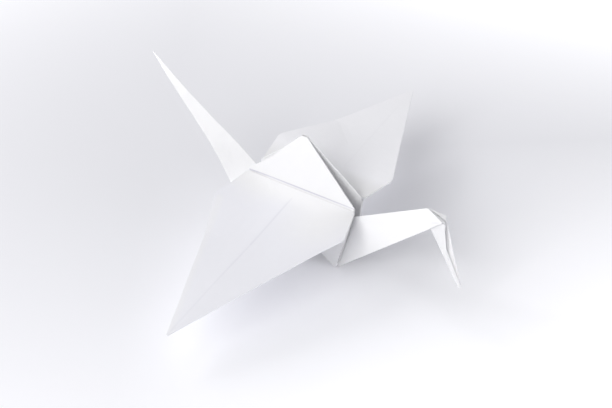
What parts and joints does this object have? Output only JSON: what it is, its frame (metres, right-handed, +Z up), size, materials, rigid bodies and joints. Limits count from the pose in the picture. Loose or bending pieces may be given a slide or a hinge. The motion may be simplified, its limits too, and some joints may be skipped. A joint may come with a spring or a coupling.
{
  "type": "origami crane",
  "caption": "Folded paper crane with spread wings, raised pointed neck and tail and a folded-down beak, made from a square of plain white paper.",
  "frame": {"origin": "under the middle of the crane's box, on the surface it stands on", "axes": "+X towards the neck and beak, +Y across the wings towards the level wing, +Z up"},
  "size_m": [0.1142, 0.1262, 0.0408],
  "materials": {
    "paper": "matt, uncoated"
  },
  "bodies": {
    "root": {"folded_crane": "paper"}
  },
  "joints": []
}
